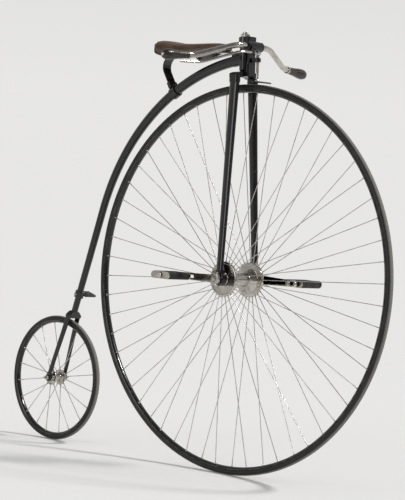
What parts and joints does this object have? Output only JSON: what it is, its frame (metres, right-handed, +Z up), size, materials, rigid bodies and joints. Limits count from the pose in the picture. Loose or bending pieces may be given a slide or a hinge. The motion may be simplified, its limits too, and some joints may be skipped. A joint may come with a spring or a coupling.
{
  "type": "penny farthing bicycle",
  "caption": "High wheel bicycle: a tall spoked front wheel with cranks and pedals on its axle, a small rear wheel, an arched backbone, a leather saddle on a leaf spring and curved handlebars.",
  "frame": {"origin": "on the top of the saddle where the rider sits, in the bicycle's middle plane", "axes": "+X forward along the bicycle, +Y to the rider's left, +Z up, with both wheels standing upright on level ground 1.46 m below the origin"},
  "size_m": [1.754, 0.7216, 1.497],
  "materials": {
    "tyre_rubber": "solid grey-black rubber, slightly dusty",
    "black_enamel": "black stove enamel, glossy",
    "spring_steel": "black enamelled spring steel",
    "bright_steel": "bright drawn steel",
    "nickel_plate": "worn nickel plate, polished",
    "saddle_leather": "dark brown saddle leather, polished by use",
    "horn_handle": "dark polished horn",
    "pedal_rubber": "matt grey-black rubber"
  },
  "bodies": {
    "frame": {"backbone": "black_enamel", "neck": "black_enamel", "rear_fork": "black_enamel", "rear_axle": "bright_steel", "rear_nut_left": "bright_steel", "rear_nut_right": "bright_steel", "mounting_step": "black_enamel", "saddle_spring": "spring_steel", "spring_clip": "black_enamel", "saddle_frame": "black_enamel", "saddle_leather": "saddle_leather"},
    "steering": {"fork_head": "black_enamel", "fork_blade_left": "black_enamel", "fork_blade_right": "black_enamel", "bearing_case_left": "black_enamel", "bearing_case_right": "black_enamel", "head_bolt": "bright_steel", "handlebar": "nickel_plate", "grip_left": "horn_handle", "grip_right": "horn_handle", "brake_lever": "nickel_plate", "brake_spoon": "black_enamel"},
    "front_wheel": {"front_tyre": "tyre_rubber", "front_rim": "black_enamel", "front_hub": "nickel_plate", "front_axle": "bright_steel", "crank_left": "nickel_plate", "crank_right": "nickel_plate", "pedal_pin_left": "bright_steel", "pedal_pin_right": "bright_steel"},
    "pedal_left": {"pedal_cage_left": "nickel_plate", "pedal_rubbers_left": "pedal_rubber"},
    "pedal_right": {"pedal_cage_right": "nickel_plate", "pedal_rubbers_right": "pedal_rubber"},
    "rear_wheel": {"rear_tyre": "tyre_rubber", "rear_rim": "black_enamel", "rear_hub": "nickel_plate"}
  },
  "joints": [
    {"name": "steering", "type": "hinge", "parent": "frame", "child": "steering", "pos_m": [0.264, 0, -0.7996], "axis": [-0.0523, 0, 0.9986], "range_deg": [-60, 60]},
    {"name": "front_wheel_spin", "type": "hinge", "parent": "steering", "child": "front_wheel", "pos_m": [0.264, 0, -0.7996], "axis": [0, 1, 0], "continuous": true},
    {"name": "pedal_left_spin", "type": "hinge", "parent": "front_wheel", "child": "pedal_left", "pos_m": [0.404, 0.17, -0.7996], "axis": [0, 1, 0], "continuous": true},
    {"name": "pedal_right_spin", "type": "hinge", "parent": "front_wheel", "child": "pedal_right", "pos_m": [0.124, -0.17, -0.7996], "axis": [0, 1, 0], "continuous": true},
    {"name": "rear_wheel_spin", "type": "hinge", "parent": "frame", "child": "rear_wheel", "pos_m": [-0.601, 0, -1.2314], "axis": [0, 1, 0], "continuous": true}
  ]
}
